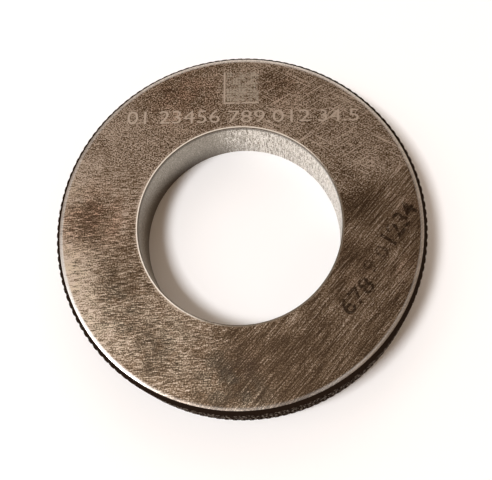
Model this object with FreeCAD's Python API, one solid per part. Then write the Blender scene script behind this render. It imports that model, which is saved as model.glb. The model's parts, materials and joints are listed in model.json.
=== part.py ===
import FreeCAD, Part
import math
import os

# Setting ring gauge: one piece of hardened steel with a lapped bore, ground end faces and a
# diamond-knurled rim. The bore runs along Z and the lower end face lies on Z = 0. All sizes in mm.

# Driving sizes of the turned ring
BORE_DIAMETER = 44.0
OUTER_DIAMETER = 80.0
WIDTH = 14.0
BORE_CHAMFER = 0.15
RIM_CHAMFER_RADIAL = 0.95
RIM_CHAMFER_AXIAL = 1.15

# Driving sizes of the knurl, which is rolled by two wheels of opposite hand
KNURL_PITCH = 1.55
KNURL_DEPTH = 0.25
KNURL_HELIX_DEG = 30.0

# How far a cutting tool runs past the faces that it opens
OVERRUN = 1.0

# Radii worked out from the driving sizes
bore_radius = BORE_DIAMETER / 2
crest_radius = OUTER_DIAMETER / 2
root_radius = crest_radius - KNURL_DEPTH
face_radius = crest_radius - RIM_CHAMFER_RADIAL

# The knurl's diamonds: a whole number round the rim, and a whole number of half diamonds across it
helix = math.radians(KNURL_HELIX_DEG)
diamonds_round = round(math.pi * OUTER_DIAMETER * math.cos(helix) / KNURL_PITCH)
columns = 2 * diamonds_round
half_diamond_width = math.pi * crest_radius / diamonds_round
half_diamond_height = half_diamond_width / math.tan(helix)
knurl_height = WIDTH - 2 * RIM_CHAMFER_AXIAL
rows = max(2, round(knurl_height / half_diamond_height))


def ring_point(radius, column, height):
    """A point at a radius and a height, on one of the evenly spaced columns round the axis."""
    angle = 2 * math.pi * column / columns
    return FreeCAD.Vector(radius * math.cos(angle), radius * math.sin(angle), height)


def chamfer_height(radius):
    """Height of the lower rim chamfer's cone at a radius. The upper one is its mirror image."""
    return RIM_CHAMFER_AXIAL * (radius - face_radius) / RIM_CHAMFER_RADIAL


def is_crest(column, row):
    """Crests and groove crossings alternate both round the rim and across it."""
    return (column + row) % 2 == 0


def knurl_point(column, row):
    """A corner of the knurl. Those of the first and last row stand on the rim chamfers."""
    radius = crest_radius if is_crest(column, row) else root_radius
    if row == 0:
        height = chamfer_height(radius)
    elif row == rows:
        height = WIDTH - chamfer_height(radius)
    else:
        height = RIM_CHAMFER_AXIAL + knurl_height * row / rows
    return ring_point(radius, column, height)


def triangle(a, b, c):
    """One flat facet."""
    return Part.Face(Part.makePolygon([a, b, c, a]))


def knurl_facets():
    """Facets of the crossed grooves. Each cell is folded along the groove that crosses it."""
    facets = []
    for row in range(rows):
        for column in range(columns):
            low = knurl_point(column, row)
            low_next = knurl_point(column + 1, row)
            high = knurl_point(column, row + 1)
            high_next = knurl_point(column + 1, row + 1)
            if is_crest(column, row):
                facets.append(triangle(low, low_next, high))
                facets.append(triangle(low_next, high_next, high))
            else:
                facets.append(triangle(low, low_next, high_next))
                facets.append(triangle(low, high_next, high))
    return facets


def chamfer_facets(row, face_height):
    """Facets of the rim chamfer between an end face and the knurl's row beside it."""
    facets = []
    for column in range(columns):
        rim = knurl_point(column, row)
        rim_next = knurl_point(column + 1, row)
        face = ring_point(face_radius, column, face_height)
        face_next = ring_point(face_radius, column + 1, face_height)
        facets.append(triangle(face, rim, rim_next))
        facets.append(triangle(face, rim_next, face_next))
    return facets


def end_face(height):
    """The flat end of the ring, before the bore is cut."""
    outline = [ring_point(face_radius, column, height) for column in range(columns + 1)]
    return Part.Face(Part.makePolygon(outline))


def knurled_blank():
    """The solid disc with its knurled rim, chamfered rim edges and flat ends."""
    faces = knurl_facets()
    faces += chamfer_facets(0, 0.0)
    faces += chamfer_facets(rows, WIDTH)
    faces.append(end_face(0.0))
    faces.append(end_face(WIDTH))
    shell = Part.Shell(faces)
    return Part.Solid(shell)


def bore_cutter():
    """The turned space inside the ring: a true cylinder that widens through both bore chamfers."""
    reach = bore_radius + BORE_CHAMFER + OVERRUN
    profile = [
        (0.0, -OVERRUN),
        (reach, -OVERRUN),
        (bore_radius, BORE_CHAMFER),
        (bore_radius, WIDTH - BORE_CHAMFER),
        (reach, WIDTH + OVERRUN),
        (0.0, WIDTH + OVERRUN),
        (0.0, -OVERRUN),
    ]
    outline = Part.makePolygon([FreeCAD.Vector(radius, 0.0, height) for radius, height in profile])
    return Part.Face(outline).revolve(FreeCAD.Vector(0, 0, 0), FreeCAD.Vector(0, 0, 1), 360)


def gauge_ring():
    """The finished gauge."""
    return knurled_blank().cut(bore_cutter())


os.makedirs("parts", exist_ok=True)
gauge_ring().exportStep("parts/gauge_ring.step")
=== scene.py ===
import json
import logging
import math
from dataclasses import dataclass, field
from enum import IntEnum
from typing import Any

import bmesh
import bpy
from mathutils import Matrix, Vector


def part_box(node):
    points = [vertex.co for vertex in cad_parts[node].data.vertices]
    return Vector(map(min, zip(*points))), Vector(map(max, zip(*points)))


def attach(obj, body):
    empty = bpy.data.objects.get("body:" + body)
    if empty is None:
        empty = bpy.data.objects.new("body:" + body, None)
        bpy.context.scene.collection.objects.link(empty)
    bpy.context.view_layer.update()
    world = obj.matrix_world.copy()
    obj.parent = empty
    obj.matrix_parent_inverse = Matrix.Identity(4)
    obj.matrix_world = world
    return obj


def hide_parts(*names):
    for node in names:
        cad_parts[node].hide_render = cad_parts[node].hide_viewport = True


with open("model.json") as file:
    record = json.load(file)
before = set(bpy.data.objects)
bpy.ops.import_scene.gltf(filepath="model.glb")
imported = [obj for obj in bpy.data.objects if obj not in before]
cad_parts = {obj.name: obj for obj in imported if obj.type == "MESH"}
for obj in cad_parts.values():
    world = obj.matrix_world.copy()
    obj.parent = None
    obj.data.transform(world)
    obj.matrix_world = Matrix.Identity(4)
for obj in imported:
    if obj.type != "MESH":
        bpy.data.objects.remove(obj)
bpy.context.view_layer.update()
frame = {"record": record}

logging.basicConfig(level=logging.INFO, format="%(message)s")
LOG = logging.getLogger("setting_ring_gauge")

RING_NODE = "gauge_ring"
BODY = "root"
MM = 0.001

# How far the marks' skins reach below the face and above it
SKIN_SINK = 0.004 * MM
SKIN_RISE = 0.010 * MM

# The reference picture's size and the camera that was fitted to it, in pixels and millimetres
PICTURE_WIDTH_PX = 492
PICTURE_HEIGHT_PX = 480
FOCAL_LENGTH_PX = 847.5
PRINCIPAL_POINT_ABOVE_CENTRE_PX = 66
SENSOR_WIDTH_MM = 36.0
CAMERA_PLACE_MM = (13.91, -53.01, 187.51)
CAMERA_TARGET_MM = (1.449, 11.004, 14.0)

# The noise values between which a scratch fades in
SCRATCH_LIMITS = (0.64, 0.76)


def linear_colour(hex_code: str) -> tuple[float, float, float, float]:
    """Turns an sRGB hex colour into the linear colour that a shader takes.

    Args:
        hex_code: The colour as "#RRGGBB".

    Returns:
        Linear red, green and blue, with an alpha of one.
    """
    channels = [int(hex_code[start:start + 2], 16) / 255 for start in (1, 3, 5)]
    linear = [c / 12.92 if c <= 0.04045 else ((c + 0.055) / 1.055) ** 2.4 for c in channels]
    return (linear[0], linear[1], linear[2], 1.0)


def add_node(tree: bpy.types.NodeTree, kind: str, inputs: dict[Any, Any] | None = None,
             **settings: Any) -> bpy.types.Node:
    """Adds a shader node with its settings, values and links.

    Args:
        tree: The node tree that gets the node.
        kind: The node's type name.
        inputs: Socket name or number to a value, or to the output socket that feeds it.
        **settings: Properties of the node itself.

    Returns:
        The new node.
    """
    node = tree.nodes.new(kind)
    for name, value in settings.items():
        setattr(node, name, value)
    for key, value in (inputs or {}).items():
        if isinstance(value, bpy.types.NodeSocket):
            tree.links.new(value, node.inputs[key])
        else:
            node.inputs[key].default_value = value
    return node


@dataclass(frozen=True)
class Rule:
    """How the shader works one value out of others: a node's kind, its setting, and its sockets."""

    kind: str
    setting: tuple[str, str]
    inputs: tuple[int, ...] = (0, 1)
    output: int = 0
    held: bool = False


# Arithmetic on two numbers. The held sum stays between zero and one
ADD = Rule("ShaderNodeMath", ("operation", "ADD"))
HELD_ADD = Rule("ShaderNodeMath", ("operation", "ADD"), held=True)
SUBTRACT = Rule("ShaderNodeMath", ("operation", "SUBTRACT"))
MULTIPLY = Rule("ShaderNodeMath", ("operation", "MULTIPLY"))
LARGER = Rule("ShaderNodeMath", ("operation", "MAXIMUM"))

# Blends take a factor, what it gives at zero and what it gives at one
BLEND = Rule("ShaderNodeMix", ("data_type", "FLOAT"), inputs=(0, 2, 3))
BLEND_COLOUR = Rule("ShaderNodeMix", ("data_type", "RGBA"), inputs=(0, 6, 7), output=2)

# A smooth step takes a value, where the step leaves zero and where it reaches one
SMOOTH_STEP = Rule("ShaderNodeMapRange", ("interpolation_type", "SMOOTHSTEP"), inputs=(0, 1, 2))


def combine(tree: bpy.types.NodeTree, rule: Rule, *values: Any) -> bpy.types.NodeSocket:
    """Works one value out of others.

    Args:
        tree: The node tree that gets the node.
        rule: How the value is worked out.
        *values: Numbers, colours or sockets, in the rule's order.

    Returns:
        The result's socket.
    """
    name, option = rule.setting
    node = add_node(tree, rule.kind, dict(zip(rule.inputs, values)), **{name: option})
    if rule.held:
        node.use_clamp = True
    return node.outputs[rule.output]


def mottle(tree: bpy.types.NodeTree, place: bpy.types.NodeSocket, size_mm: float,
           detail: float = 3.0, roughness: float = 0.55, offset_mm: float = 0.0) -> bpy.types.NodeSocket:
    """Adds even, cloudy noise.

    Args:
        tree: The node tree that gets the nodes.
        place: The coordinates to read.
        size_mm: The clouds' rough size.
        detail: How many finer layers it has.
        roughness: How strong the finer layers are.
        offset_mm: A shift that makes this noise differ from another of the same size.

    Returns:
        The noise value's socket, about 0.5 on average.
    """
    scale = (size_mm * MM,) * 3
    moved = add_node(tree, "ShaderNodeMapping", {"Vector": place, "Location": (offset_mm * MM,) * 3,
                                                 "Scale": scale}, vector_type="TEXTURE")
    noise = add_node(tree, "ShaderNodeTexNoise", {"Vector": moved.outputs[0], "Scale": 1.0,
                                                  "Detail": detail, "Roughness": roughness})
    return noise.outputs[0]


def strokes(tree: bpy.types.NodeTree, place: bpy.types.NodeSocket, angle_deg: float, length_mm: float,
            width_mm: float, detail: float = 3.0) -> bpy.types.NodeSocket:
    """Adds noise drawn out along one direction of the face, as abrasive strokes leave it.

    Args:
        tree: The node tree that gets the nodes.
        place: The coordinates to read.
        angle_deg: The strokes' direction from +X towards +Y.
        length_mm: The strokes' rough length.
        width_mm: The strokes' rough width.
        detail: How many finer layers it has.

    Returns:
        The noise value's socket, about 0.5 on average.
    """
    turned = add_node(tree, "ShaderNodeMapping",
                      {"Vector": place, "Rotation": (0.0, 0.0, math.radians(angle_deg)),
                       "Scale": (length_mm * MM, width_mm * MM, MM)}, vector_type="TEXTURE")
    noise = add_node(tree, "ShaderNodeTexNoise", {"Vector": turned.outputs[0], "Scale": 1.0,
                                                  "Detail": detail, "Roughness": 0.62})
    return noise.outputs[0]


@dataclass(frozen=True)
class Scratch:
    """A family of thin parallel lines: their direction and length, and the spacing they are picked from."""

    angle_deg: float
    length_mm: float
    spacing_mm: float


def scratches(tree: bpy.types.NodeTree, place: bpy.types.NodeSocket,
              scratch: Scratch) -> bpy.types.NodeSocket:
    """Adds single thin lines along one direction, with clear steel between them.

    Args:
        tree: The node tree that gets the nodes.
        place: The coordinates to read.
        scratch: The family of lines.

    Returns:
        A socket that is one on a line and zero beside it.
    """
    spread = strokes(tree, place, scratch.angle_deg, scratch.length_mm, scratch.spacing_mm, detail=0.0)
    return combine(tree, SMOOTH_STEP, spread, *SCRATCH_LIMITS)


def towards(tree: bpy.types.NodeTree, place: bpy.types.NodeSocket, angle_deg: float) -> bpy.types.NodeSocket:
    """Tells how far round the ring a point is from one direction.

    Args:
        tree: The node tree that gets the nodes.
        place: The coordinates to read.
        angle_deg: The direction from the axis, from +X towards +Y.

    Returns:
        A socket with the cosine of the angle between the point and the direction.
    """
    flat = add_node(tree, "ShaderNodeVectorMath", {0: place, 1: (1.0, 1.0, 0.0)}, operation="MULTIPLY")
    unit = add_node(tree, "ShaderNodeVectorMath", {0: flat.outputs[0]}, operation="NORMALIZE")
    direction = (math.cos(math.radians(angle_deg)), math.sin(math.radians(angle_deg)), 0.0)
    dot = add_node(tree, "ShaderNodeVectorMath", {0: unit.outputs[0], 1: direction}, operation="DOT_PRODUCT")
    return dot.outputs["Value"]


def from_axis(tree: bpy.types.NodeTree, place: bpy.types.NodeSocket) -> bpy.types.NodeSocket:
    """Gives a point's distance from the bore axis, in metres.

    Args:
        tree: The node tree that gets the nodes.
        place: The coordinates to read.

    Returns:
        The distance's socket.
    """
    flat = add_node(tree, "ShaderNodeVectorMath", {0: place, 1: (1.0, 1.0, 0.0)}, operation="MULTIPLY")
    length = add_node(tree, "ShaderNodeVectorMath", {0: flat.outputs[0]}, operation="LENGTH")
    return length.outputs["Value"]


def radius_step(tree: bpy.types.NodeTree, place: bpy.types.NodeSocket,
                band_mm: tuple[float, float]) -> bpy.types.NodeSocket:
    """Turns the distance from the axis into a smooth step over a band of radii.

    Args:
        tree: The node tree that gets the nodes.
        place: The coordinates to read.
        band_mm: The radius where the step leaves zero, and the one where it reaches one.

    Returns:
        The step's socket.
    """
    return combine(tree, SMOOTH_STEP, from_axis(tree, place), band_mm[0] * MM, band_mm[1] * MM)


def swing(tree: bpy.types.NodeTree, noise: bpy.types.NodeSocket, gain: Any) -> bpy.types.NodeSocket:
    """Centres a noise on zero and scales it.

    Args:
        tree: The node tree that gets the nodes.
        noise: The noise value's socket, about 0.5 on average.
        gain: The number or socket that scales it.

    Returns:
        The scaled value's socket, about zero on average.
    """
    return combine(tree, MULTIPLY, combine(tree, SUBTRACT, noise, 0.5), gain)


def spot(tree: bpy.types.NodeTree, place: bpy.types.NodeSocket, centre_mm: tuple[float, float],
         radius_mm: float) -> bpy.types.NodeSocket:
    """Adds a soft round spot on the upper face.

    Args:
        tree: The node tree that gets the nodes.
        place: The coordinates to read.
        centre_mm: The spot's centre.
        radius_mm: Where the spot has faded out.

    Returns:
        A socket that is one at the centre and zero outside.
    """
    flat = add_node(tree, "ShaderNodeVectorMath", {0: place, 1: (1.0, 1.0, 0.0)}, operation="MULTIPLY")
    centre = (centre_mm[0] * MM, centre_mm[1] * MM, 0.0)
    gap = add_node(tree, "ShaderNodeVectorMath", {0: flat.outputs[0], 1: centre}, operation="DISTANCE")
    return combine(tree, SMOOTH_STEP, gap.outputs["Value"], radius_mm * MM, 0.0)


def new_material(name: str) -> tuple[bpy.types.Material, bpy.types.NodeTree, bpy.types.Node]:
    """Makes an empty material with one shader.

    Args:
        name: The material's name.

    Returns:
        The material, its node tree and its Principled shader.
    """
    material = bpy.data.materials.new(name)
    material.use_nodes = True
    tree = material.node_tree
    tree.nodes.clear()
    shader = add_node(tree, "ShaderNodeBsdfPrincipled")
    add_node(tree, "ShaderNodeOutputMaterial", {"Surface": shader.outputs[0]})
    return material, tree, shader


@dataclass(frozen=True)
class Stain:
    """A soft patch where the brown film is thicker, or thinner where its depth is negative."""

    x_mm: float
    y_mm: float
    radius_mm: float
    depth: float


@dataclass(frozen=True)
class Overlay:
    """A worn mark on the steel: its colour, how strongly it covers, and how much of it is rubbed away."""

    colour: str
    strength: float
    wear: float


@dataclass(frozen=True)
class Sector:
    """A part of the ring round one direction. Its soft ends are cosines of the angle from it."""

    middle_deg: float
    start: float
    full: float

    def cover(self, tree: bpy.types.NodeTree, place: bpy.types.NodeSocket,
              wander: Any = 0.0) -> bpy.types.NodeSocket:
        """Tells how far inside the sector a point is.

        Args:
            tree: The node tree that gets the nodes.
            place: The coordinates to read.
            wander: A number or socket that moves the soft ends to and fro.

        Returns:
            A socket that is zero outside the sector and one inside it.
        """
        cosine = combine(tree, ADD, towards(tree, place, self.middle_deg), wander)
        return combine(tree, SMOOTH_STEP, cosine, self.start, self.full)


# Where fingers and oil stayed, where the film turned red, and where it turned grey
HANDLING_STAINS = (
    Stain(8.5, 32.7, 6.8, 0.36), Stain(-14.4, 30.5, 8.0, 0.16), Stain(25.5, 5.9, 9.0, 0.26),
    Stain(-35.2, 1.5, 10.0, 0.38), Stain(13.0, -26.0, 12.0, 0.10), Stain(-14.5, 25.2, 6.0, -0.18),
    Stain(11.8, 24.2, 7.0, -0.08), Stain(35.3, 9.2, 7.0, -0.16), Stain(26.0, -16.0, 6.0, -0.06),
    Stain(-5.0, -36.0, 14.0, 0.15), Stain(9.0, -34.0, 12.0, 0.20), Stain(-3.0, -28.0, 11.0, 0.20),
    Stain(24.0, 21.0, 17.0, -0.04), Stain(31.0, 9.0, 10.0, -0.10), Stain(-8.0, 31.0, 16.0, 0.01),
    Stain(4.0, 35.0, 14.0, -0.10), Stain(33.0, -9.0, 8.0, -0.08), Stain(-35.0, -11.5, 9.0, -0.12),
    Stain(-29.0, 13.0, 17.0, -0.12), Stain(-27.0, 25.0, 9.0, -0.16), Stain(8.0, 25.5, 6.0, -0.06),
    Stain(-24.5, -24.5, 12.0, 0.10), Stain(-18.0, -27.5, 7.0, 0.28), Stain(-22.5, -18.5, 8.0, -0.06),
    Stain(-24.0, -12.0, 14.0, 0.22),
)
RED_STAINS = (
    Stain(23.5, -9.5, 8.0, 0.30), Stain(34.6, -11.8, 7.0, 0.32), Stain(36.6, 3.0, 7.0, 0.25),
    Stain(-32.5, 1.0, 12.0, 0.8), Stain(0.7, -29.4, 6.0, 0.5), Stain(-13.0, 31.0, 13.0, 0.6),
    Stain(10.0, 31.0, 8.0, 0.3),
)
GREY_STAINS = (
    Stain(-4.0, -32.5, 10.0, 0.8), Stain(2.0, -37.0, 8.0, 0.7), Stain(-16.0, -26.0, 14.0, 0.7),
    Stain(-27.0, -20.0, 16.0, 0.8), Stain(-35.0, -10.0, 13.0, 0.9), Stain(-38.0, 8.0, 8.0, 0.6),
)


@dataclass(frozen=True)
class PatinatedGroundSteel:
    """Hardened tool steel, ground and then rubbed by hand on abrasive paper, and browned with age.

    The rubbing changes direction round the face, so the grain changes with it. The brown film is
    worn through along the strokes and lies thickest where fingers and oil stayed. Years of use have
    left the face satin. Its outer left and the band beside the bore's mouth at the upper left are
    lightened as painted highlights, and its right side is darkened as a painted shade. Its pale
    outer edge is partly rubbed-bare steel and partly a painted highlight. Where a value is a pair,
    it is for the left side and for the right side.
    """

    name: str = "patinated_ground_tool_steel"
    deep_film: str = "#372B20"
    film: str = "#645342"
    bare: str = "#A5978A"
    red_film: str = "#7A6150"
    grey_film: str = "#857969"
    # The pale outer edge: partly rubbed-bare steel, partly a painted highlight
    edge: str = "#D9D7D5"
    # Real strokes and pits are a few hundredths of a millimetre wide, and are drawn coarser to show
    stroke_width_mm: float = 0.22
    stroke_length_mm: float = 2.0
    right_stretch: float = 2.8
    cross_stretch: float = 0.8
    band_width_mm: float = 0.9
    band_length_mm: float = 14.0
    pit_mm: float = 0.30
    cloud_mm: float = 6.0
    left_angle_deg: float = 1.0
    right_angle_deg: float = 49.0
    cross_angle_deg: float = 31.0
    cross_scratches: tuple[Scratch, Scratch] = (Scratch(33.0, 9.0, 0.30), Scratch(-31.0, 12.0, 0.30))
    bright_drag: Scratch = Scratch(20.0, 20.0, 0.25)
    dark_drag: Scratch = Scratch(15.0, 16.0, 0.25)
    left_side: Sector = Sector(212.0, 0.30, 0.75)
    right_side: Sector = Sector(320.0, 0.40, 0.66)
    # Lightened as a painted highlight: the face's outer left
    outer_highlight_side: Sector = Sector(191.0, 0.72, 1.0)
    # Painted highlight: lighter beside the bore's mouth, mostly on the upper-left side
    mouth_highlight_side: Sector = Sector(150.0, -0.45, 0.10)
    scratched_side: Sector = Sector(52.0, 0.72, 0.95)
    dragged_side: Sector = Sector(222.0, 0.45, 0.80)
    scuffed_side: Sector = Sector(226.0, 0.88, 0.97)
    # Round these directions the edge's painted highlight is weaker
    weaker_edge_highlight_upper_left: Sector = Sector(152.0, 0.85, 0.98)
    weaker_edge_highlight_bottom: Sector = Sector(268.0, 0.76, 0.96)
    edge_band_mm: tuple[float, float] = (38.25, 38.75)
    scuffed_band_mm: tuple[float, float] = (37.6, 38.6)
    outer_highlight_band_mm: tuple[float, float] = (31.0, 38.5)
    mouth_highlight_band_mm: tuple[float, float] = (23.1, 22.4)
    pit_share: tuple[float, float] = (0.38, 0.42)
    crossed_pit_share: float = 0.45
    grain_contrast: tuple[float, float] = (5.0, 4.4)
    band_contrast: tuple[float, float] = (0.50, 0.70)
    cloud_contrast: float = 0.60
    outer_highlight_share: float = 0.42
    mouth_highlight_share: float = 0.30
    scratch_share: float = 0.60
    drag_share: float = 0.28
    # Painted shade: how much the face's right side is darkened
    right_shade_share: float = -0.21
    mean_tone: float = 0.52
    film_roughness: float = 0.42
    bare_roughness: float = 0.48
    edge_roughness: float = 0.28
    scuffed_roughness: float = 0.05
    overlay: Overlay | None = None

    def build(self) -> bpy.types.Material:
        """Makes the material.

        Returns:
            The finished material.
        """
        material, tree, shader = new_material(self.name)
        place = add_node(tree, "ShaderNodeTexCoord").outputs["Object"]
        wander = swing(tree, mottle(tree, place, 9.0, 2.0), 0.9)
        right = self.right_side.cover(tree, place, wander)
        left = self.left_side.cover(tree, place, wander)
        grain = self._grain(tree, place, left, right)
        tone = self._tone(tree, place, grain, right)
        tree.links.new(self._colour(tree, place, tone), shader.inputs["Base Color"])
        shader.inputs["Metallic"].default_value = 1.0
        edge = self._edge(tree, place)
        rough = combine(tree, BLEND, tone, self.film_roughness, self.bare_roughness)
        rough = combine(tree, ADD, rough, self._scuffing(tree, place))
        tree.links.new(combine(tree, BLEND, edge, rough, self.edge_roughness), shader.inputs["Roughness"])
        bump = add_node(tree, "ShaderNodeBump", {"Height": grain, "Strength": 0.20, "Distance": 0.02 * MM})
        tree.links.new(bump.outputs[0], shader.inputs["Normal"])
        return material

    def _edge(self, tree: bpy.types.NodeTree, place: bpy.types.NodeSocket) -> bpy.types.NodeSocket:
        """Tells where the face's outer edge takes the pale edge colour, partly rubbed-bare steel and partly a
        painted highlight, held back at the upper left and the bottom: zero on the flat face, one at the edge.
        """
        outermost = radius_step(tree, place, self.edge_band_mm)
        upper_left = combine(tree, MULTIPLY, self.weaker_edge_highlight_upper_left.cover(tree, place), 0.35)
        bottom = combine(tree, MULTIPLY, self.weaker_edge_highlight_bottom.cover(tree, place), 0.85)
        rubbed = combine(tree, SUBTRACT, 1.0, combine(tree, LARGER, upper_left, bottom))
        return combine(tree, MULTIPLY, outermost, rubbed)

    def _grain(self, tree: bpy.types.NodeTree, place: bpy.types.NodeSocket, left: bpy.types.NodeSocket,
               right: bpy.types.NodeSocket) -> bpy.types.NodeSocket:
        """Lays the strokes of the abrasive: one way on each side, and crossed at the top.

        Args:
            tree: The material's node tree.
            place: The coordinates to read.
            left: One where the left side's strokes lie.
            right: One where the right side's strokes lie.

        Returns:
            The grain's socket, about 0.5 on average.
        """
        width, length = self.stroke_width_mm, self.stroke_length_mm
        fine_left = strokes(tree, place, self.left_angle_deg, length, width)
        fine_right = strokes(tree, place, self.right_angle_deg, self.right_stretch * length, width)
        cross_one = strokes(tree, place, self.cross_angle_deg, self.cross_stretch * length, width)
        cross_two = strokes(tree, place, -self.cross_angle_deg, self.cross_stretch * length, width)
        pits = mottle(tree, place, self.pit_mm, detail=1.0, offset_mm=5.0)
        crossed = combine(tree, SUBTRACT, combine(tree, ADD, cross_one, cross_two), 0.5)
        rest = combine(tree, BLEND, self.crossed_pit_share, crossed, pits)
        strokes_here = combine(tree, BLEND, right, combine(tree, BLEND, left, rest, fine_left), fine_right)
        return combine(tree, BLEND, combine(tree, BLEND, right, *self.pit_share), strokes_here, pits)

    def _scuffing(self, tree: bpy.types.NodeTree, place: bpy.types.NodeSocket) -> bpy.types.NodeSocket:
        """Gives the roughness that knocks have added to the edge at the lower left."""
        outermost = radius_step(tree, place, self.scuffed_band_mm)
        scuffed = combine(tree, MULTIPLY, outermost, self.scuffed_side.cover(tree, place))
        return combine(tree, MULTIPLY, scuffed, self.scuffed_roughness)

    def _tone(self, tree: bpy.types.NodeTree, place: bpy.types.NodeSocket, grain: bpy.types.NodeSocket,
              right: bpy.types.NodeSocket) -> bpy.types.NodeSocket:
        """Tells how far the film is worn through: zero where it is deep, one on bare steel. Its lightening at
        the outer left and beside the bore's mouth is painted highlight, and its darkening on the right side
        is painted shade.

        Args:
            tree: The material's node tree.
            place: The coordinates to read.
            grain: The grain's socket.
            right: One where the right side's strokes lie.

        Returns:
            The tone's socket.
        """
        length, width = self.band_length_mm, self.band_width_mm
        band_left = strokes(tree, place, self.left_angle_deg, length, width, 2.0)
        band_right = strokes(tree, place, self.right_angle_deg, length, width, 2.0)
        bands = combine(tree, BLEND, right, band_left, band_right)
        clouds = mottle(tree, place, self.cloud_mm, detail=4.0, offset_mm=31.0)
        # Painted highlight: the outer left of the face is lightened
        worn = combine(tree, MULTIPLY, radius_step(tree, place, self.outer_highlight_band_mm),
                       self.outer_highlight_side.cover(tree, place))
        # Painted highlight beside the bore's mouth on the upper-left side
        mouth_highlight = combine(tree, MULTIPLY, radius_step(tree, place, self.mouth_highlight_band_mm),
                            self.mouth_highlight_side.cover(tree, place))
        one_way, other_way = self.cross_scratches
        crossed = combine(tree, ADD, scratches(tree, place, one_way), scratches(tree, place, other_way))
        crossed = combine(tree, MULTIPLY, crossed, self.scratched_side.cover(tree, place))
        dragged = combine(tree, SUBTRACT, scratches(tree, place, self.bright_drag),
                          scratches(tree, place, self.dark_drag))
        dragged = combine(tree, MULTIPLY, dragged, self.dragged_side.cover(tree, place))
        total = swing(tree, grain, combine(tree, BLEND, right, *self.grain_contrast))
        banded = swing(tree, bands, combine(tree, BLEND, right, *self.band_contrast))
        total = combine(tree, ADD, total, banded)
        total = combine(tree, ADD, total, swing(tree, clouds, self.cloud_contrast))
        # The right side's share is a painted shade
        shares = ((worn, self.outer_highlight_share), (mouth_highlight, self.mouth_highlight_share), (crossed, self.scratch_share),
                  (dragged, self.drag_share), (right, self.right_shade_share))
        for part, share in shares:
            total = combine(tree, ADD, total, combine(tree, MULTIPLY, part, share))
        for stain in HANDLING_STAINS:
            here = spot(tree, place, (stain.x_mm, stain.y_mm), stain.radius_mm)
            total = combine(tree, SUBTRACT, total, combine(tree, MULTIPLY, here, stain.depth))
        return combine(tree, HELD_ADD, total, self.mean_tone)

    def _stained(self, tree: bpy.types.NodeTree, place: bpy.types.NodeSocket, colour: bpy.types.NodeSocket,
                 stains: tuple[Stain, ...], tint: str) -> bpy.types.NodeSocket:
        """Tints the steel where stains of one colour lie.

        Args:
            tree: The material's node tree.
            place: The coordinates to read.
            colour: The colour's socket so far.
            stains: The stains.
            tint: Their colour, whose hue the steel takes there.

        Returns:
            The tinted colour's socket.
        """
        patchy = combine(tree, SMOOTH_STEP, mottle(tree, place, 2.5, detail=4.0, offset_mm=47.0), 0.30, 0.65)
        cover = 0.0
        for stain in stains:
            here = spot(tree, place, (stain.x_mm, stain.y_mm), stain.radius_mm)
            cover = combine(tree, LARGER, cover, combine(tree, MULTIPLY, here, stain.depth))
        cover = combine(tree, MULTIPLY, cover, patchy)
        return combine(tree, BLEND_COLOUR, cover, colour, self._tinted(tree, colour, tint))

    def _tinted(self, tree: bpy.types.NodeTree, colour: bpy.types.NodeSocket,
                tint: str) -> bpy.types.NodeSocket:
        """Turns a colour's hue to a tint's, and keeps its lightness.

        Args:
            tree: The material's node tree.
            colour: The colour's socket.
            tint: The tint.

        Returns:
            The colour's socket.
        """
        grey = add_node(tree, "ShaderNodeRGBToBW", {0: colour})
        red, green, blue, _ = linear_colour(tint)
        light = 0.2126 * red + 0.7152 * green + 0.0722 * blue
        hue = (red / light, green / light, blue / light)
        scaled = add_node(tree, "ShaderNodeVectorMath", {0: hue, "Scale": grey.outputs[0]},
                          operation="SCALE")
        return scaled.outputs[0]

    def _colour(self, tree: bpy.types.NodeTree, place: bpy.types.NodeSocket,
                tone: bpy.types.NodeSocket) -> bpy.types.NodeSocket:
        """Turns the tone into the steel's colour, with its stains and any mark.

        Args:
            tree: The material's node tree.
            place: The coordinates to read.
            tone: The tone's socket.

        Returns:
            The colour's socket.
        """
        ramp = add_node(tree, "ShaderNodeValToRGB", {0: tone})
        elements = ramp.color_ramp.elements
        elements[0].color = linear_colour(self.deep_film)
        elements[1].color = linear_colour(self.bare)
        elements.new(0.5).color = linear_colour(self.film)
        colour = self._stained(tree, place, ramp.outputs[0], RED_STAINS, self.red_film)
        colour = self._stained(tree, place, colour, GREY_STAINS, self.grey_film)
        # The pale outer edge: partly rubbed-bare steel, partly a painted highlight
        bared_and_highlighted = combine(tree, MULTIPLY, self._edge(tree, place), combine(tree, BLEND, tone, 0.55, 1.0))
        colour = combine(tree, BLEND_COLOUR, bared_and_highlighted, colour, linear_colour(self.edge))
        if self.overlay is None:
            return colour
        rubbing = mottle(tree, place, 0.8, detail=3.0, offset_mm=12.0)
        left_over = combine(tree, SMOOTH_STEP, rubbing, self.overlay.wear - 0.10, self.overlay.wear + 0.10)
        cover = combine(tree, MULTIPLY, left_over, self.overlay.strength)
        return combine(tree, BLEND_COLOUR, cover, colour, linear_colour(self.overlay.colour))


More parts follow.
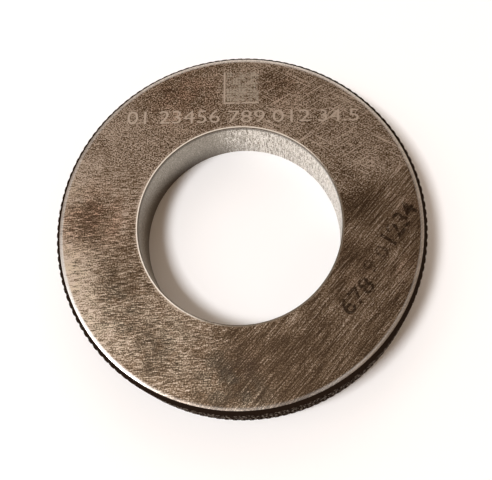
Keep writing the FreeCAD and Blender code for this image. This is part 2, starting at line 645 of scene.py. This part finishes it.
@dataclass(frozen=True)
class LappedSteel:
    """The bore wall and its chamfers: hardened steel lapped to size, silvery with a fine even speckle.

    On its upper right side, which faces the key lamp, it is lighter, with stronger lines along the
    axis and stronger speckle: a painted highlight. It is darker towards its foot, most on the left
    side, and in a narrow band at its top with the upper chamfer. Where a value is a pair, it is for
    the plain side and for the side that is affected.
    """

    width: float
    name: str = "lapped_tool_steel"
    dull: str = "#6E6658"
    even: str = "#A39B8E"
    bright: str = "#F0EAE1"
    foot: str = "#463A2A"
    # Real lapping marks are about 0.02 mm wide, and are drawn coarser to show
    speckle_mm: float = 0.24
    line_length_mm: float = 2.4
    foot_height_mm: float = 8.5
    lip_height_mm: float = 0.8
    # The side with a painted highlight: the wall at the upper right, which faces the key lamp
    highlight_side: Sector = Sector(52.0, 0.50, 0.85)
    foot_side: Sector = Sector(172.0, -0.2, 0.8)
    speckle_stretch: float = 2.2
    speckle_contrast: tuple[float, float] = (1.1, 2.2)
    line_contrast: tuple[float, float] = (0.2, 1.8)
    mean_tone: tuple[float, float] = (0.30, 0.74)
    bump_strength: tuple[float, float] = (0.05, 0.25)
    foot_cover: tuple[float, float] = (0.15, 0.85)
    lip_cover: float = 0.7
    dull_roughness: float = 0.34
    bright_roughness: float = 0.26

    def build(self) -> bpy.types.Material:
        """Makes the material.

        Returns:
            The finished material.
        """
        material, tree, shader = new_material(self.name)
        place = add_node(tree, "ShaderNodeTexCoord").outputs["Object"]
        speckle = self._drawn(tree, place, self.speckle_stretch * self.speckle_mm)
        lines = self._drawn(tree, place, self.line_length_mm)
        # Lighter, with stronger speckle and lines, on the highlight side: a painted highlight
        highlighted = self.highlight_side.cover(tree, place)
        speckled = swing(tree, speckle, combine(tree, BLEND, highlighted, *self.speckle_contrast))
        drawn = swing(tree, lines, combine(tree, BLEND, highlighted, *self.line_contrast))
        mean = combine(tree, BLEND, highlighted, *self.mean_tone)
        tone = combine(tree, HELD_ADD, combine(tree, ADD, speckled, drawn), mean)
        ramp = add_node(tree, "ShaderNodeValToRGB", {0: tone})
        elements = ramp.color_ramp.elements
        elements[0].color = linear_colour(self.dull)
        elements[1].color = linear_colour(self.bright)
        elements.new(0.5).color = linear_colour(self.even)
        shade = combine(tree, LARGER, self._foot(tree, place), self._lip(tree, place))
        colour = combine(tree, BLEND_COLOUR, shade, ramp.outputs[0], linear_colour(self.foot))
        tree.links.new(colour, shader.inputs["Base Color"])
        shader.inputs["Metallic"].default_value = 1.0
        roughness = combine(tree, BLEND, tone, self.dull_roughness, self.bright_roughness)
        tree.links.new(roughness, shader.inputs["Roughness"])
        bump = add_node(tree, "ShaderNodeBump", {"Height": tone, "Distance": 0.01 * MM,
                                                 "Strength": combine(tree, BLEND, highlighted, *self.bump_strength)})
        tree.links.new(bump.outputs[0], shader.inputs["Normal"])
        return material

    def _drawn(self, tree: bpy.types.NodeTree, place: bpy.types.NodeSocket,
               length_mm: float) -> bpy.types.NodeSocket:
        """Adds fine noise, drawn out along the bore axis.

        Args:
            tree: The material's node tree.
            place: The coordinates to read.
            length_mm: The marks' rough length.

        Returns:
            The noise value's socket, about 0.5 on average.
        """
        scale = (self.speckle_mm * MM, self.speckle_mm * MM, length_mm * MM)
        drawn = add_node(tree, "ShaderNodeMapping", {"Vector": place, "Scale": scale},
                         vector_type="TEXTURE")
        noise = add_node(tree, "ShaderNodeTexNoise", {"Vector": drawn.outputs[0], "Scale": 1.0,
                                                      "Detail": 1.0})
        return noise.outputs[0]

    def _foot(self, tree: bpy.types.NodeTree, place: bpy.types.NodeSocket) -> bpy.types.NodeSocket:
        """Tells where the bore wall is darkened towards its foot.

        Args:
            tree: The material's node tree.
            place: The coordinates to read.

        Returns:
            The cover's socket.
        """
        height = add_node(tree, "ShaderNodeSeparateXYZ", {0: place}).outputs["Z"]
        low = combine(tree, SMOOTH_STEP, height, self.foot_height_mm * MM, 0.0)
        side = self.foot_side.cover(tree, place)
        return combine(tree, MULTIPLY, low, combine(tree, BLEND, side, *self.foot_cover))

    def _lip(self, tree: bpy.types.NodeTree, place: bpy.types.NodeSocket) -> bpy.types.NodeSocket:
        """Tells where the dull band lies below the upper edge.

        Args:
            tree: The material's node tree.
            place: The coordinates to read.

        Returns:
            The cover's socket.
        """
        height = add_node(tree, "ShaderNodeSeparateXYZ", {0: place}).outputs["Z"]
        high = combine(tree, SMOOTH_STEP, height, self.width - 1.5 * self.lip_height_mm * MM,
                       self.width - self.lip_height_mm * MM)
        return combine(tree, MULTIPLY, high, self.lip_cover)


@dataclass(frozen=True)
class BareSteel:
    """The narrow ring of bare steel beside the bore's mouth: pale on its upper-left side, a painted highlight
    of the bore's edge, and dull elsewhere.
    """

    name: str = "bare_tool_steel"
    bright: str = "#D8D2CA"
    dull: str = "#776C5F"
    nick_mm: float = 0.8
    # Pale on this side: a painted highlight of the bore's edge
    highlight_side: Sector = Sector(142.0, -0.1, 0.5)
    smooth_roughness: float = 0.55
    nicked_roughness: float = 0.85

    def build(self) -> bpy.types.Material:
        """Makes the material.

        Returns:
            The finished material.
        """
        material, tree, shader = new_material(self.name)
        place = add_node(tree, "ShaderNodeTexCoord").outputs["Object"]
        nicks = mottle(tree, place, self.nick_mm, detail=3.0)
        # The pale side is a painted highlight; the nicks break up its ends
        highlighted = self.highlight_side.cover(tree, place, nicks)
        colour = combine(tree, BLEND_COLOUR, highlighted, linear_colour(self.dull), linear_colour(self.bright))
        tree.links.new(colour, shader.inputs["Base Color"])
        shader.inputs["Metallic"].default_value = 1.0
        roughness = combine(tree, BLEND, nicks, self.smooth_roughness, self.nicked_roughness)
        tree.links.new(roughness, shader.inputs["Roughness"])
        return material


@dataclass(frozen=True)
class BlackenedSteel:
    """The rim: rolled knurl under a black oxide finish, oiled brown.

    It looks matt and nearly black. The crests of its diamonds are rubbed a little, and show paler.
    """

    crest_radius: float
    name: str = "blackened_knurled_steel"
    oxide: str = "#221913"
    worn: str = "#8A7D6F"
    wear_depth_mm: float = 0.08
    wear_patch_mm: float = 0.6
    wear_limits: tuple[float, float] = (0.45, 0.65)
    worn_metal: float = 0.8
    oxide_roughness: float = 0.62
    worn_roughness: float = 0.45
    # The grain of a real oxide skin is about 0.02 mm, and is drawn coarser to show
    skin_mm: float = 0.30

    def build(self) -> bpy.types.Material:
        """Makes the material.

        Returns:
            The finished material.
        """
        material, tree, shader = new_material(self.name)
        place = add_node(tree, "ShaderNodeTexCoord").outputs["Object"]
        wear_radius = self.crest_radius - self.wear_depth_mm * MM
        height = combine(tree, SMOOTH_STEP, from_axis(tree, place), wear_radius, self.crest_radius)
        patches = mottle(tree, place, self.wear_patch_mm, detail=3.0)
        rubbed = combine(tree, SMOOTH_STEP, patches, *self.wear_limits)
        factor = combine(tree, MULTIPLY, height, rubbed)
        colour = combine(tree, BLEND_COLOUR, factor, linear_colour(self.oxide), linear_colour(self.worn))
        tree.links.new(colour, shader.inputs["Base Color"])
        tree.links.new(combine(tree, MULTIPLY, factor, self.worn_metal), shader.inputs["Metallic"])
        roughness = combine(tree, BLEND, factor, self.oxide_roughness, self.worn_roughness)
        tree.links.new(roughness, shader.inputs["Roughness"])
        shader.inputs["Specular IOR Level"].default_value = 0.0
        skin = mottle(tree, place, self.skin_mm, detail=2.0)
        bump = add_node(tree, "ShaderNodeBump", {"Height": skin, "Strength": 0.3, "Distance": 0.01 * MM})
        tree.links.new(bump.outputs[0], shader.inputs["Normal"])
        return material


@dataclass(frozen=True)
class PaleTabletop:
    """The floor: a plain painted board, which looks matt and white."""

    name: str = "pale_matt_board"
    board: str = "#FAFBFE"

    def build(self) -> bpy.types.Material:
        """Makes the material.

        Returns:
            The finished material.
        """
        material, tree, shader = new_material(self.name)
        shader.inputs["Base Color"].default_value = linear_colour(self.board)
        shader.inputs["Roughness"].default_value = 0.9
        shader.inputs["Specular IOR Level"].default_value = 0.1
        return material


class Region(IntEnum):
    """The ring's finishes, in the order of its material slots."""

    FACE = 0
    RIM = 1
    BORE = 2
    EDGE = 3


@dataclass
class GaugeRing:
    """The ring itself: one wedge with two columns of knurl diamonds, repeated round the axis.

    A wedge is shaped flat first, as if the ring were cut and unrolled: X runs round the rim at the
    crest radius, Y is the height and Z the distance from the axis. Then it is wrapped and repeated.
    """

    bore_radius: float
    crest_radius: float
    width: float
    diamonds_round: int = 140
    rows: int = 8
    knurl_depth: float = 0.25 * MM
    flank_width: float = 0.45 * MM
    rim_chamfer_radial: float = 0.95 * MM
    rim_chamfer_axial: float = 1.15 * MM
    bore_chamfer: float = 0.15 * MM
    rolled_width: float = 0.45 * MM
    rolled_angle_deg: float = 14.0
    rolled_steps: int = 6
    support: float = 0.08 * MM
    mouth_ring_width: float = 0.27 * MM
    merge_gap: float = 0.002 * MM
    sharp_angle_deg: float = 22.0
    finishes: dict[Region, Any] = field(default_factory=dict)

    @property
    def half_diamond_width(self) -> float:
        """Half a diamond's width round the rim."""
        return math.pi * self.crest_radius / self.diamonds_round

    @property
    def half_diamond_height(self) -> float:
        """Half a diamond's height along the rim."""
        return (self.width - 2 * self.rim_chamfer_axial) / self.rows

    def build(self) -> bpy.types.Object:
        """Builds and dresses the ring.

        Returns:
            The ring's object.
        """
        bm = bmesh.new()
        self._roll_knurl(bm)
        upper = self._cut_chamfer(bm, 1)
        lower = self._cut_chamfer(bm, -1)
        upper = [edge for edge in upper if edge.is_valid]
        last = self._sweep_profile(bm, upper)
        bridge = bmesh.ops.bridge_loops(bm, edges=last + lower)
        for face in bridge["faces"]:
            face.material_index = Region.RIM
            face.smooth = True
        self._wrap(bm)
        self._repeat(bm)
        mesh = bpy.data.meshes.new("ring_body")
        bm.to_mesh(mesh)
        bm.free()
        mesh.set_sharp_from_angle(angle=math.radians(self.sharp_angle_deg))
        ring = bpy.data.objects.new("ring_body", mesh)
        bpy.context.scene.collection.objects.link(ring)
        for region in Region:
            mesh.materials.append(self.finishes[region])
        return ring

    def _roll_knurl(self, bm: bmesh.types.BMesh) -> None:
        """Rolls one period of the diamond knurl, taller than the ring.

        Args:
            bm: The mesh that gets the diamonds.
        """
        half_width = self.half_diamond_width
        half_height = self.half_diamond_height
        root_radius = self.crest_radius - self.knurl_depth
        shape = Matrix.Diagonal((half_width, half_height, 1.0, 1.0)) @ Matrix.Rotation(math.pi / 4, 4, "Z")
        reach = self.rows // 2 + 1
        for step in range(-reach, reach + 1):
            centre = Vector(((step % 2) * half_width, self.width / 2 + step * half_height, root_radius))
            bmesh.ops.create_grid(bm, x_segments=1, y_segments=1, size=math.sqrt(0.5),
                                  matrix=Matrix.Translation(centre) @ shape)
        bmesh.ops.remove_doubles(bm, verts=bm.verts, dist=self.merge_gap)
        bmesh.ops.inset_individual(bm, faces=bm.faces[:], thickness=self.flank_width,
                                   depth=self.knurl_depth, use_even_offset=True)
        for face in bm.faces:
            face.material_index = Region.RIM

    def _cut_chamfer(self, bm: bmesh.types.BMesh, side: int) -> list[bmesh.types.BMEdge]:
        """Turns one rim chamfer: cuts the knurl back to the chamfer's cone.

        Args:
            bm: The mesh to cut.
            side: 1 for the upper chamfer, -1 for the lower one.

        Returns:
            The edges of the cut.
        """
        height = self.width / 2 + side * (self.width / 2 - self.rim_chamfer_axial)
        normal = Vector((0.0, side * self.rim_chamfer_radial, self.rim_chamfer_axial)).normalized()
        cut = bmesh.ops.bisect_plane(
            bm, geom=bm.verts[:] + bm.edges[:] + bm.faces[:], dist=self.merge_gap,
            plane_co=(0.0, height, self.crest_radius), plane_no=normal, clear_outer=True)
        return [item for item in cut["geom_cut"] if isinstance(item, bmesh.types.BMEdge)]

    def _profile(self) -> list[tuple[float, float, Region]]:
        """Works out the turned profile from the upper rim chamfer, through the bore, to the lower one.

        Returns:
            Radius, height and finish at each station. The finish is that of the surface that ends there.
        """
        roll = math.radians(self.rolled_angle_deg)
        roll_radius = self.rolled_width / math.sin(roll)
        drop = roll_radius * (1 - math.cos(roll))
        edge_radius = (self.crest_radius - self.rim_chamfer_radial
                       + drop * self.rim_chamfer_radial / self.rim_chamfer_axial)
        flat_radius = edge_radius - self.rolled_width
        mouth_radius = self.bore_radius + self.bore_chamfer
        half = [(edge_radius, drop, Region.RIM)]
        for step in range(self.rolled_steps - 1, -1, -1):
            angle = roll * step / self.rolled_steps
            half.append((flat_radius + roll_radius * math.sin(angle), roll_radius * (1 - math.cos(angle)),
                         Region.FACE))
        half.append((flat_radius - self.support, 0.0, Region.FACE))
        half.append((mouth_radius + self.mouth_ring_width, 0.0, Region.FACE))
        half.append((mouth_radius, 0.0, Region.EDGE))
        half.append((self.bore_radius, self.bore_chamfer, Region.BORE))
        half.append((self.bore_radius, self.bore_chamfer + self.support, Region.BORE))
        upper = [(radius, self.width - depth, region) for radius, depth, region in half]
        finish_below = [region for _, _, region in half[1:]] + [Region.BORE]
        lower = [(radius, depth, finish) for (radius, depth, _), finish in zip(half, finish_below)]
        return upper + lower[::-1]

    def _sweep_profile(self, bm: bmesh.types.BMesh,
                       edges: list[bmesh.types.BMEdge]) -> list[bmesh.types.BMEdge]:
        """Extrudes the upper cut along the turned profile.

        Args:
            bm: The mesh that gets the surfaces.
            edges: The edges of the upper cut.

        Returns:
            The edges of the last station.
        """
        for radius, height, region in self._profile():
            extruded = bmesh.ops.extrude_edge_only(bm, edges=edges)["geom"]
            corners = {item for item in extruded if isinstance(item, bmesh.types.BMVert)}
            for corner in corners:
                corner.co.y = height
                corner.co.z = radius
            for item in extruded:
                if isinstance(item, bmesh.types.BMFace):
                    item.material_index = region
                    item.smooth = True
            edges = [item for item in extruded if isinstance(item, bmesh.types.BMEdge)
                     and item.verts[0] in corners and item.verts[1] in corners]
        return edges

    def _wrap(self, bm: bmesh.types.BMesh) -> None:
        """Wraps the flat wedge round the axis.

        Args:
            bm: The mesh to wrap.
        """
        for corner in bm.verts:
            angle = corner.co.x / self.crest_radius
            radius, height = corner.co.z, corner.co.y
            corner.co = (radius * math.cos(angle), radius * math.sin(angle), height)

    def _repeat(self, bm: bmesh.types.BMesh) -> None:
        """Repeats the wedge round the axis and closes the ring.

        Args:
            bm: The mesh to repeat.
        """
        turn = 2 * math.pi / self.diamonds_round
        bmesh.ops.spin(bm, geom=bm.verts[:] + bm.edges[:] + bm.faces[:], cent=(0, 0, 0), axis=(0, 0, 1),
                       angle=2 * math.pi - turn, steps=self.diamonds_round - 1, use_duplicate=True)
        bmesh.ops.remove_doubles(bm, verts=bm.verts, dist=self.merge_gap)
        bmesh.ops.recalc_face_normals(bm, faces=bm.faces)


@dataclass
class FaceMark:
    """One line of plain digits on the upper face, as a skin on the steel.

    The swelling moves the digits' outlines out, in the font's own units. A negative one thins them.
    """

    name: str
    digits: str
    start_mm: tuple[float, float]
    angle_deg: float
    length_mm: float
    height_mm: float
    swelling: float
    finish: bpy.types.Material

    def build(self, face_height: float) -> bpy.types.Object:
        """Writes the line.

        Args:
            face_height: The height of the face that it stands on.

        Returns:
            The line's object.
        """
        curve = bpy.data.curves.new(self.name, "FONT")
        curve.body = self.digits
        curve.offset = self.swelling
        curve.resolution_u = 3
        writer = bpy.data.objects.new(self.name + "_writer", curve)
        bpy.context.scene.collection.objects.link(writer)
        mesh = bpy.data.meshes.new_from_object(writer.evaluated_get(bpy.context.evaluated_depsgraph_get()))
        bpy.data.objects.remove(writer)
        mesh.name = self.name
        bm = bmesh.new()
        bm.from_mesh(mesh)
        self._lay_down(bm, face_height)
        bm.to_mesh(mesh)
        bm.free()
        mesh.materials.clear()
        mesh.materials.append(self.finish)
        mark = bpy.data.objects.new(self.name, mesh)
        bpy.context.scene.collection.objects.link(mark)
        return mark

    def _lay_down(self, bm: bmesh.types.BMesh, face_height: float) -> None:
        """Fits the digits to their size and place, and gives them a little thickness.

        Args:
            bm: The digits' mesh, as the font gives it.
            face_height: The height of the face.
        """
        bmesh.ops.remove_doubles(bm, verts=bm.verts, dist=1e-5)
        low_x = min(v.co.x for v in bm.verts)
        high_x = max(v.co.x for v in bm.verts)
        low_y = min(v.co.y for v in bm.verts)
        high_y = max(v.co.y for v in bm.verts)
        across = self.length_mm * MM / (high_x - low_x)
        up = self.height_mm * MM / (high_y - low_y)
        place = Matrix.Translation((self.start_mm[0] * MM, self.start_mm[1] * MM, face_height - SKIN_SINK))
        turn = Matrix.Rotation(math.radians(self.angle_deg), 4, "Z")
        fit = Matrix.Diagonal((across, up, 1.0, 1.0)) @ Matrix.Translation((-low_x, -low_y, 0.0))
        bmesh.ops.transform(bm, matrix=place @ turn @ fit, verts=bm.verts)
        thicken(bm)


@dataclass
class EtchedField:
    """A square field of dots with a line along two sides, etched on the upper face."""

    name: str
    corner_mm: tuple[float, float]
    size_mm: float
    dots_across: int
    line_mm: float
    finish: bpy.types.Material
    line_finish: bpy.types.Material
    dot_share: float = 0.84

    def build(self, face_height: float) -> bpy.types.Object:
        """Etches the field.

        Args:
            face_height: The height of the face that it stands on.

        Returns:
            The field's object.
        """
        bm = bmesh.new()
        left, low = self.corner_mm
        half = self.size_mm / 2
        self._plate(bm, left + self.line_mm / 2, low + half, self.line_mm / 2, half)
        self._plate(bm, left + half + self.line_mm / 2, low + self.line_mm / 2, half - self.line_mm / 2,
                    self.line_mm / 2)
        for face in bm.faces:
            face.material_index = 1
        inset = 1.5 * self.line_mm
        pitch = (self.size_mm - inset) / self.dots_across
        half_dot = self.dot_share * pitch / 2
        for row in range(self.dots_across):
            for column in range(self.dots_across):
                self._plate(bm, left + inset + (column + 0.5) * pitch, low + inset + (row + 0.5) * pitch,
                            half_dot, half_dot)
        bmesh.ops.translate(bm, vec=(0.0, 0.0, face_height - SKIN_SINK), verts=bm.verts)
        thicken(bm)
        mesh = bpy.data.meshes.new(self.name)
        bm.to_mesh(mesh)
        bm.free()
        mesh.materials.append(self.finish)
        mesh.materials.append(self.line_finish)
        mark = bpy.data.objects.new(self.name, mesh)
        bpy.context.scene.collection.objects.link(mark)
        return mark

    def _plate(self, bm: bmesh.types.BMesh, x_mm: float, y_mm: float, half_x_mm: float,
               half_y_mm: float) -> None:
        """Adds one flat rectangle.

        Args:
            bm: The mesh that gets it.
            x_mm: Its centre along X.
            y_mm: Its centre along Y.
            half_x_mm: Half its width.
            half_y_mm: Half its height.
        """
        shape = Matrix.Diagonal((half_x_mm * MM, half_y_mm * MM, 1.0, 1.0))
        bmesh.ops.create_grid(bm, x_segments=1, y_segments=1, size=1.0,
                              matrix=Matrix.Translation((x_mm * MM, y_mm * MM, 0.0)) @ shape)


def thicken(bm: bmesh.types.BMesh) -> None:
    """Turns flat marks into closed skins that stand a hair proud of the face.

    Args:
        bm: The flat marks.
    """
    bmesh.ops.recalc_face_normals(bm, faces=bm.faces)
    flat = bm.faces[:]
    raised = bmesh.ops.extrude_face_region(bm, geom=flat, use_keep_orig=True)
    tops = [item for item in raised["geom"] if isinstance(item, bmesh.types.BMVert)]
    bmesh.ops.translate(bm, vec=(0.0, 0.0, SKIN_SINK + SKIN_RISE), verts=tops)
    bmesh.ops.recalc_face_normals(bm, faces=bm.faces)
    for face in bm.faces:
        face.smooth = False


@dataclass(frozen=True)
class Lamp:
    """A square soft lamp that faces the ring. Its distance and width are in metres, its power in watts."""

    name: str
    direction: tuple[float, float, float]
    distance: float
    width: float
    power: float
    colour: str


LAMPS = (
    Lamp("key_softbox", (-0.308, -0.183, 0.932), 1.6, 0.32, 18.8, "#FFFFFF"),
    Lamp("window_softbox", (-0.66, -0.08, 0.75), 1.2, 0.48, 1.04, "#FFFFFF"),
    Lamp("fill_softbox", (-0.03, 0.79, 0.60), 1.2, 1.0, 2.5, "#FFF8F0"),
    Lamp("side_softbox", (0.60, 0.36, 0.71), 1.2, 0.6, 0.48, "#FFF3E6"),
)


@dataclass
class Studio:
    """The floor, the lamps, the world and the camera. The sky's heights are sines of its elevation."""

    ring_radius: float
    floor_in_rings: int = 60
    low_sky: str = "#FFEEDC"
    overhead_sky: str = "#FFDAB6"
    horizon_sky: str = "#FFFDFA"
    low_strength: float = 0.82
    overhead_strength: float = 0.31
    horizon_strength: float = 1.0
    overhead_heights: tuple[float, float] = (0.10, 0.60)
    horizon_heights: tuple[float, float] = (0.26, 0.08)

    def build(self) -> None:
        """Sets the whole studio up."""
        self._lay_floor()
        for lamp in LAMPS:
            self._hang_lamp(lamp)
        self._light_world()
        self._place_camera()

    def _lay_floor(self) -> None:
        """Lays the pale floor that the ring stands on."""
        bm = bmesh.new()
        bmesh.ops.create_grid(bm, x_segments=1, y_segments=1, size=self.floor_in_rings * self.ring_radius)
        mesh = bpy.data.meshes.new("floor")
        bm.to_mesh(mesh)
        bm.free()
        floor = bpy.data.objects.new("floor", mesh)
        bpy.context.scene.collection.objects.link(floor)
        mesh.materials.append(PaleTabletop().build())

    def _hang_lamp(self, lamp: Lamp) -> None:
        """Hangs one lamp.

        Args:
            lamp: The lamp to hang.
        """
        light = bpy.data.lights.new(lamp.name, "AREA")
        light.shape = "SQUARE"
        light.size = lamp.width
        light.energy = lamp.power
        light.color = linear_colour(lamp.colour)[:3]
        holder = bpy.data.objects.new(lamp.name, light)
        place = Vector(lamp.direction).normalized() * lamp.distance
        holder.location = place
        holder.rotation_euler = (-place).to_track_quat("-Z", "Y").to_euler()
        bpy.context.scene.collection.objects.link(holder)

    def _light_world(self) -> None:
        """Gives soft warm light from all round, stronger near the horizon than overhead."""
        world = bpy.data.worlds.new("studio_world")
        bpy.context.scene.world = world
        world.use_nodes = True
        tree = world.node_tree
        tree.nodes.clear()
        direction = add_node(tree, "ShaderNodeTexCoord").outputs["Generated"]
        height = add_node(tree, "ShaderNodeSeparateXYZ", {0: direction}).outputs["Z"]
        overhead = combine(tree, SMOOTH_STEP, height, *self.overhead_heights)
        colour = combine(tree, BLEND_COLOUR, overhead, linear_colour(self.low_sky),
                         linear_colour(self.overhead_sky))
        horizon = combine(tree, SMOOTH_STEP, height, *self.horizon_heights)
        colour = combine(tree, BLEND_COLOUR, horizon, colour, linear_colour(self.horizon_sky))
        above = combine(tree, BLEND, overhead, self.low_strength, self.overhead_strength)
        strength = combine(tree, BLEND, horizon, above, self.horizon_strength)
        sky = add_node(tree, "ShaderNodeBackground", {"Color": colour, "Strength": strength})
        add_node(tree, "ShaderNodeOutputWorld", {"Surface": sky.outputs[0]})

    def _place_camera(self) -> None:
        """Places the camera where the reference picture was taken from, with +Y up in the picture."""
        camera = bpy.data.cameras.new("camera")
        camera.sensor_width = SENSOR_WIDTH_MM
        camera.lens = FOCAL_LENGTH_PX * SENSOR_WIDTH_MM / PICTURE_WIDTH_PX
        camera.shift_y = -PRINCIPAL_POINT_ABOVE_CENTRE_PX / max(PICTURE_WIDTH_PX, PICTURE_HEIGHT_PX)
        camera.clip_start = 0.005
        place = Vector(CAMERA_PLACE_MM) * MM
        back = (place - Vector(CAMERA_TARGET_MM) * MM).normalized()
        right = Vector((0.0, 1.0, 0.0)).cross(back).normalized()
        upward = back.cross(right)
        turn = Matrix((right, upward, back)).transposed().to_4x4()
        holder = bpy.data.objects.new("camera", camera)
        holder.matrix_world = Matrix.Translation(place) @ turn
        bpy.context.scene.collection.objects.link(holder)
        bpy.context.scene.camera = holder


def report(piece: bpy.types.Object) -> None:
    """Logs a finished piece.

    Args:
        piece: The piece to report.
    """
    LOG.info("%s: %d faces, %d finishes", piece.name, len(piece.data.polygons), len(piece.data.materials))


def marked_steel(name: str, colour: str, strength: float, wear: float) -> bpy.types.Material:
    """Makes the face's steel with a worn mark on it.

    Args:
        name: The material's name.
        colour: The mark's colour.
        strength: How strongly it covers.
        wear: How much of it is rubbed away.

    Returns:
        The finished material.
    """
    return PatinatedGroundSteel(name=name, overlay=Overlay(colour, strength, wear)).build()


def main() -> None:
    """Builds the ring, its marks and the studio."""
    low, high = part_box(RING_NODE)
    bore = next(mount for mount in frame["record"]["mounts"] if mount["name"] == "bore")
    bpy.context.scene.view_settings.view_transform = "Standard"
    finishes = {
        Region.FACE: PatinatedGroundSteel().build(),
        Region.RIM: BlackenedSteel(crest_radius=high.x).build(),
        Region.BORE: LappedSteel(width=high.z - low.z).build(),
        Region.EDGE: BareSteel().build(),
    }
    ring = GaugeRing(bore_radius=bore["dims"]["r_mm"] * MM, crest_radius=high.x, width=high.z - low.z,
                     finishes=finishes).build()
    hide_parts(RING_NODE)
    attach(ring, BODY)
    report(ring)
    etched = marked_steel("etched_tool_steel", "#ACA094", 0.95, 0.33)
    speckled = marked_steel("speckled_tool_steel", "#A1998D", 0.85, 0.47)
    stamped = marked_steel("stamped_tool_steel", "#20170F", 0.82, 0.41)
    faint = marked_steel("faintly_stamped_tool_steel", "#20170F", 0.64, 0.45)
    marks = [
        FaceMark("etched_line_left", "01 23456", (-25.50, 23.65), -0.70, 21.0, 3.15, -0.005, etched),
        FaceMark("etched_line_middle", "789.012", (-2.60, 23.37), -0.70, 18.4, 2.95, -0.005, etched),
        FaceMark("etched_line_right", "34.5", (17.55, 23.10), -0.70, 9.0, 2.9, -0.005, etched),
        EtchedField("etched_field", (-3.65, 27.95), 8.0, 11, 0.42, speckled, etched),
        FaceMark("stamped_low", "678", (22.9, -20.6), 48.0, 8.4, 3.6, 0.010, stamped),
        FaceMark("stamped_middle", "9 0", (27.9, -12.0), 52.0, 6.4, 3.0, 0.008, faint),
        FaceMark("stamped_high", "1234", (32.9, -5.8), 56.0, 9.6, 3.9, 0.018, stamped),
    ]
    for mark in marks:
        piece = mark.build(high.z)
        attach(piece, BODY)
        report(piece)
    Studio(ring_radius=high.x).build()


if __name__ == "__main__":
    main()
